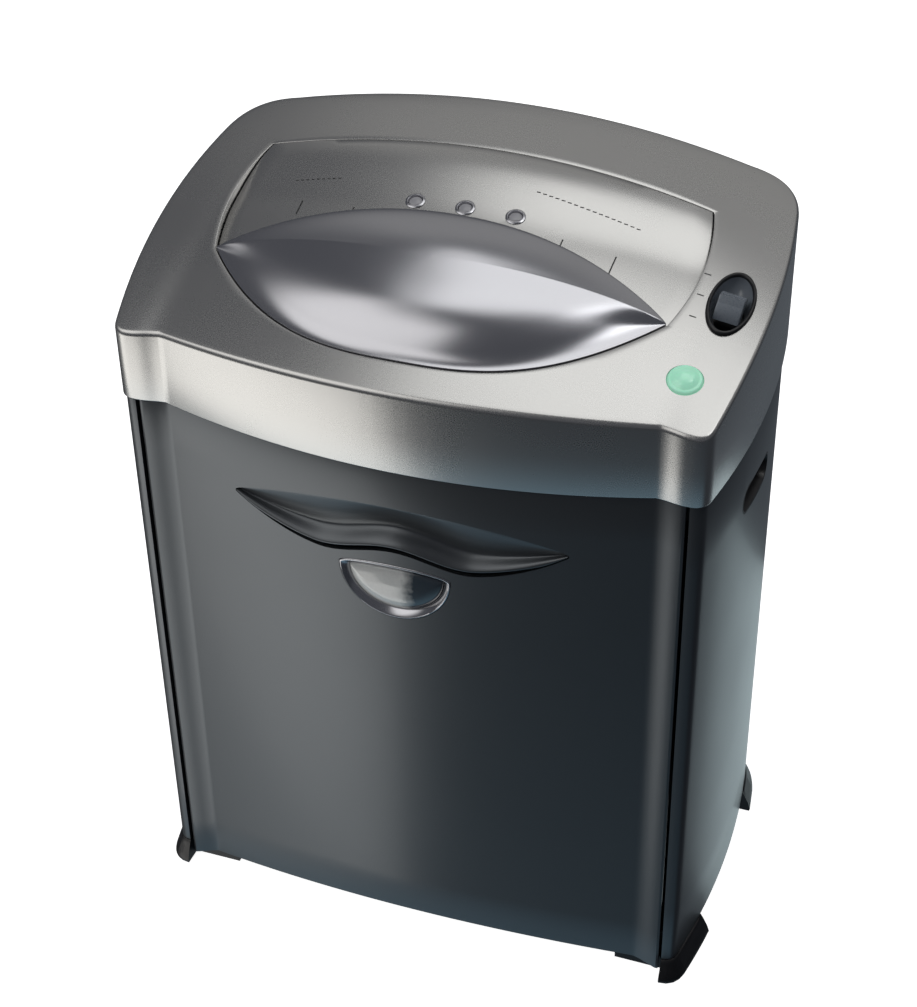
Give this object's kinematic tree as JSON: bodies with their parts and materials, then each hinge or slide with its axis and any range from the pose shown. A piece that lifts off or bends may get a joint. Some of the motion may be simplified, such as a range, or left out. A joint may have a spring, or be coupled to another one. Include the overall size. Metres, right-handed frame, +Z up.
{
  "type": "paper shredder",
  "caption": "Console paper shredder with a crowned silver head, lens-shaped feed hood, mode rocker, power button and a pull-out bin with a wave-shaped grip.",
  "frame": {"origin": "on the floor, under the middle of the machine's bounding box", "axes": "+X to the right of someone facing the front, +Y to the back, +Z up"},
  "size_m": [0.4134, 0.2736, 0.5432],
  "materials": {
    "silver_paint": "satin metallic silver paint on moulded plastic",
    "hood_silver": "glossier metallic silver paint on moulded plastic",
    "charcoal_shell": "satin charcoal moulded plastic with a faint metallic flake",
    "black_plastic": "fine-grained black moulded plastic",
    "slate_plastic": "smooth slate grey moulded plastic",
    "green_button": "translucent pale green moulded plastic",
    "lamp_lens": "grey translucent lamp lens, unlit",
    "smoked_window": "smoked clear plastic window",
    "cutter_steel": "hardened ground steel with a light oil film",
    "zinc_plate": "zinc-plated sheet steel",
    "bronze_bush": "sintered bronze",
    "nylon_gear": "natural nylon",
    "circuit_board": "green glass-epoxy board"
  },
  "bodies": {
    "casing": {"top_cover": "silver_paint", "feed_panel": "silver_paint", "feed_hood": "hood_silver", "status_lamp_left": "lamp_lens", "status_lamp_centre": "lamp_lens", "status_lamp_right": "lamp_lens", "switch_bezel": "black_plastic", "switch_housing": "black_plastic", "button_switch": "black_plastic", "button_spring": "cutter_steel", "head_pan": "black_plastic", "throat_guide_front": "black_plastic", "throat_guide_rear": "black_plastic", "cutter_plate_left": "zinc_plate", "cutter_plate_right": "zinc_plate", "gearbox_plate": "zinc_plate", "tie_rod_upper": "cutter_steel", "tie_rod_lower": "cutter_steel", "reduction_pin": "cutter_steel", "bearing_front_left": "bronze_bush", "bearing_front_right": "bronze_bush", "bearing_rear_left": "bronze_bush", "bearing_rear_right": "bronze_bush", "motor_housing": "zinc_plate", "stripper_comb_front": "slate_plastic", "stripper_comb_rear": "slate_plastic", "circuit_board": "circuit_board", "motor_capacitor": "zinc_plate", "cord_gland": "black_plastic", "cabinet_left": "charcoal_shell", "cabinet_right": "charcoal_shell", "cabinet_back": "charcoal_shell", "base_tray": "black_plastic", "foot_front_left": "black_plastic", "foot_front_right": "black_plastic", "foot_rear_left": "black_plastic", "foot_rear_right": "black_plastic", "grip_cup_left": "black_plastic", "grip_cup_right": "black_plastic", "bin_runner_left": "slate_plastic", "bin_runner_right": "slate_plastic", "back_screw_left_low": "cutter_steel", "back_screw_left_high": "cutter_steel", "back_screw_right_low": "cutter_steel", "back_screw_right_high": "cutter_steel"},
    "bin": {"bin_body": "black_plastic", "bin_front": "charcoal_shell", "grip_pocket": "black_plastic", "grip_lip": "charcoal_shell", "window_lens": "smoked_window"},
    "mode_rocker": {"mode_rocker": "slate_plastic"},
    "power_button": {"power_button": "green_button"},
    "cutter_front": {"cutter_shaft_front": "cutter_steel", "sync_gear_front": "cutter_steel"},
    "cutter_rear": {"cutter_shaft_rear": "cutter_steel", "sync_gear_rear": "cutter_steel", "final_gear": "cutter_steel"},
    "reduction_gear": {"reduction_gear": "nylon_gear"},
    "motor_rotor": {"motor_rotor": "cutter_steel"},
    "paper_sensor": {"paper_sensor": "black_plastic"}
  },
  "joints": [
    {"name": "bin_slide", "type": "slide", "parent": "casing", "child": "bin", "axis": [0, -1, 0], "range_m": [0, 0.26]},
    {"name": "mode_rocker_tilt", "type": "hinge", "parent": "casing", "child": "mode_rocker", "pos_m": [0.17813, -0.00622, 0.4973], "axis": [0.9877, 0, -0.1563], "range_deg": [-12, 12]},
    {"name": "power_button_press", "type": "slide", "parent": "casing", "child": "power_button", "axis": [-0.0521, 0.3124, -0.9485], "range_m": [0, 0.0025], "stiffness_N_per_m": 600, "springref_m": -0.0015, "deforming": ["button_spring"]},
    {"name": "cutter_rear_spin", "type": "hinge", "parent": "casing", "child": "cutter_rear", "pos_m": [-0.002, 0.0253, 0.446], "axis": [1, 0, 0], "continuous": true},
    {"name": "cutter_front_spin", "type": "hinge", "parent": "casing", "child": "cutter_front", "pos_m": [-0.002, -0.0097, 0.446], "axis": [1, 0, 0], "continuous": true},
    {"name": "reduction_spin", "type": "hinge", "parent": "casing", "child": "reduction_gear", "pos_m": [-0.1415, 0.05576, 0.46593], "axis": [1, 0, 0], "continuous": true},
    {"name": "motor_spin", "type": "hinge", "parent": "casing", "child": "motor_rotor", "pos_m": [-0.1415, 0.08826, 0.4602], "axis": [1, 0, 0], "continuous": true},
    {"name": "paper_sensor_tilt", "type": "hinge", "parent": "casing", "child": "paper_sensor", "pos_m": [-0.002, 0.0218, 0.502], "axis": [1, 0, 0], "range_deg": [0, 30], "stiffness_Nm_per_rad": 0.0008, "springref_deg": -22.92}
  ],
  "couplings": [
    {"joint": "cutter_front_spin", "follows": "cutter_rear_spin", "ratio": -1},
    {"joint": "reduction_spin", "follows": "cutter_rear_spin", "ratio": -3.3333},
    {"joint": "motor_spin", "follows": "cutter_rear_spin", "ratio": 13.333}
  ]
}
